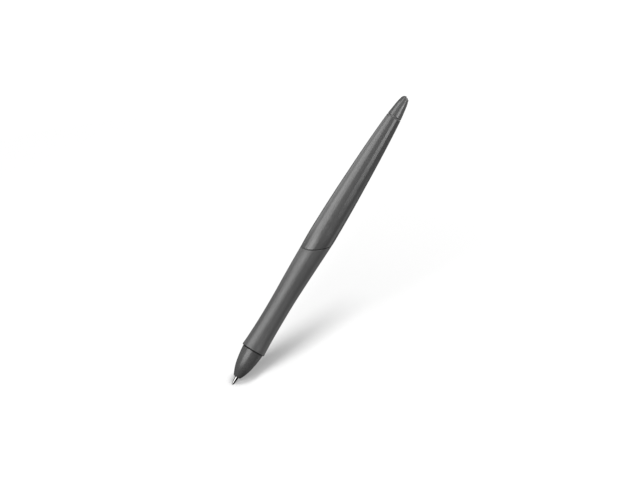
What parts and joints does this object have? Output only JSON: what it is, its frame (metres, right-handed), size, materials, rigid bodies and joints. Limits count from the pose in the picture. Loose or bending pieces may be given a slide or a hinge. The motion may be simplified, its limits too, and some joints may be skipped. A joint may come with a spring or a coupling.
{
  "type": "tablet pen",
  "caption": "Slim tapered pen for a drawing tablet: screw-off nose cone, ink refill, waisted soft grip, slanted seam, rounded tail cap, pressure-sensing tip inside.",
  "frame": {"origin": "the lowest point of the writing ball, on the pen's long axis", "axes": "+Z along the pen from the writing tip to the tail; the slanted seam between grip and rear barrel rises towards +X, and XZ is the seam's plane of symmetry"},
  "size_m": [0.0128, 0.0128, 0.157],
  "materials": {
    "nose_plastic": "satin",
    "grip_rubber": "matte",
    "rear_plastic": "satin",
    "tail_plastic": "satin",
    "barrel_plastic": "satin",
    "ball_carbide": "polished",
    "point_metal": "polished",
    "tube_brass": "satin",
    "cushion_rubber": "matte",
    "ferrite": "matte",
    "copper_wire": "gloss",
    "amber_tape": "gloss",
    "holder_plastic": "satin",
    "cup_plastic": "satin",
    "spring_steel": "gloss",
    "housing_plastic": "satin",
    "pad_rubber": "matte",
    "spacer_plastic": "satin",
    "disc_ceramic": "satin",
    "clip_metal": "gloss",
    "chassis_plastic": "satin",
    "board_laminate": "satin",
    "chip_resin": "matte",
    "capacitor_ceramic": "satin",
    "trimmer_ceramic": "satin",
    "rotor_metal": "gloss",
    "lead_enamel": "gloss",
    "lead_tinned": "gloss",
    "tail_rubber": "matte"
  },
  "bodies": {
    "barrel": {"front_barrel": "barrel_plastic", "grip_sleeve": "grip_rubber", "rear_barrel": "rear_plastic", "tail_cap": "tail_plastic", "tail_cushion": "tail_rubber", "ferrite_core": "ferrite", "antenna_coil": "copper_wire", "coil_tape": "amber_tape", "coil_lead_a": "lead_enamel", "coil_lead_b": "lead_enamel", "core_holder": "holder_plastic", "return_spring": "spring_steel", "sensor_housing": "housing_plastic", "spacer_ring": "spacer_plastic", "dielectric_disc": "disc_ceramic", "contact_clip": "clip_metal", "sensor_lead": "lead_tinned", "board_holder": "chassis_plastic", "circuit_board": "board_laminate", "control_chip": "chip_resin", "chip_capacitor_a": "capacitor_ceramic", "chip_capacitor_b": "capacitor_ceramic", "chip_capacitor_c": "capacitor_ceramic", "trimmer_body": "trimmer_ceramic"},
    "tip_carriage": {"refill_holder": "cup_plastic", "pressure_pad": "pad_rubber"},
    "refill": {"refill_tube": "tube_brass", "refill_point": "point_metal"},
    "ball": {"writing_ball": "ball_carbide"},
    "cushion": {"core_cushion": "cushion_rubber"},
    "nose": {"nose_cone": "nose_plastic"},
    "trimmer": {"trimmer_rotor": "rotor_metal"}
  },
  "joints": [
    {"name": "tip_press", "type": "slide", "parent": "barrel", "child": "tip_carriage", "axis": [0, 0, 1], "range_m": [0, 0.0004], "stiffness_N_per_m": 300, "springref_m": -0.001, "deforming": ["return_spring"]},
    {"name": "refill_pull", "type": "slide", "parent": "tip_carriage", "child": "refill", "axis": [0, 0, -1], "range_m": [0, 0.03]},
    {"name": "ball_roll", "type": "hinge", "parent": "refill", "child": "ball", "pos_m": [0, 0, 0.0004], "axis": [1, 0, 0], "continuous": true},
    {"name": "nose_advance", "type": "slide", "parent": "barrel", "child": "cushion", "axis": [0, 0, -1], "range_m": [0, 0.00487]},
    {"name": "nose_turn", "type": "hinge", "parent": "cushion", "child": "nose", "pos_m": [0, 0, 0.0187], "axis": [0, 0, -1], "range_deg": [0, 1171.2]},
    {"name": "trimmer_turn", "type": "hinge", "parent": "barrel", "child": "trimmer", "pos_m": [0, 0.0017, 0.104], "axis": [0, 1, 0], "continuous": true}
  ],
  "couplings": [
    {"joint": "nose_turn", "follows": "nose_advance", "rad_per_m": 4188.8}
  ]
}
